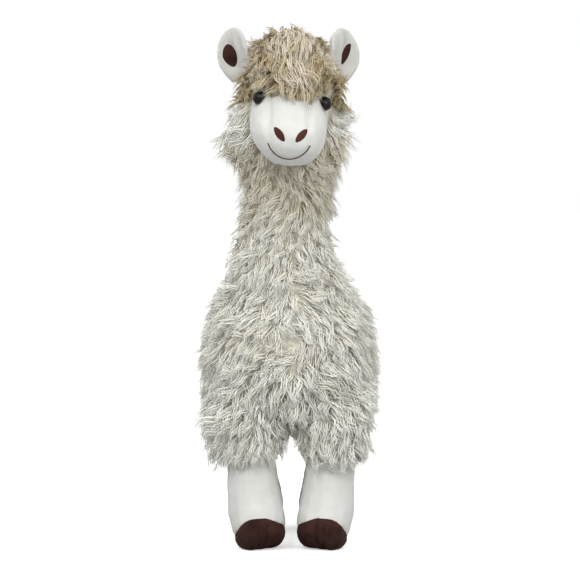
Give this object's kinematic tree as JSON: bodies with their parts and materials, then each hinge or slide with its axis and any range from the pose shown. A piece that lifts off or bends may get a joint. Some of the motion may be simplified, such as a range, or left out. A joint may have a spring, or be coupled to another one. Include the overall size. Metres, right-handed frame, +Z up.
{
  "type": "plush llama",
  "caption": "Standing stuffed toy llama with a shaggy off-white coat, tan forelock, white face, cupped ears, black eyes and dark brown hooves.",
  "frame": {"origin": "on the floor under the middle of the box round the whole toy", "axes": "+Z up, -Y the way the llama faces, +X to the viewer's right as it faces the viewer"},
  "size_m": [0.1518, 0.3104, 0.4491],
  "materials": {
    "wool": "off-white long-pile faux fur with beige roots",
    "forelock": "long tan faux fur with pale streaks",
    "plush": "white short-pile plush",
    "brown": "dark brown short-pile plush",
    "thread": "dark brown embroidery thread",
    "eye": "glossy black",
    "washer": "natural white",
    "filling": "white polyester fibre filling"
  },
  "bodies": {
    "root": {"ear_left": "plush", "ear_lining_left": "brown", "ear_lining_right": "brown", "ear_right": "plush", "eye_left": "eye", "eye_right": "eye", "eye_washer_left": "washer", "eye_washer_right": "washer", "face": "plush", "filling": "filling", "forelock": "forelock", "hoof_front_left": "brown", "hoof_front_right": "brown", "hoof_hind_left": "brown", "hoof_hind_right": "brown", "legging_front_left": "wool", "legging_front_right": "wool", "legging_hind_left": "wool", "legging_hind_right": "wool", "mouth_stitch": "thread", "nostril_left": "brown", "nostril_right": "brown", "shin_front_left": "plush", "shin_front_right": "plush", "shin_hind_left": "plush", "shin_hind_right": "plush", "tail": "wool", "wool_coat": "wool"}
  },
  "joints": []
}
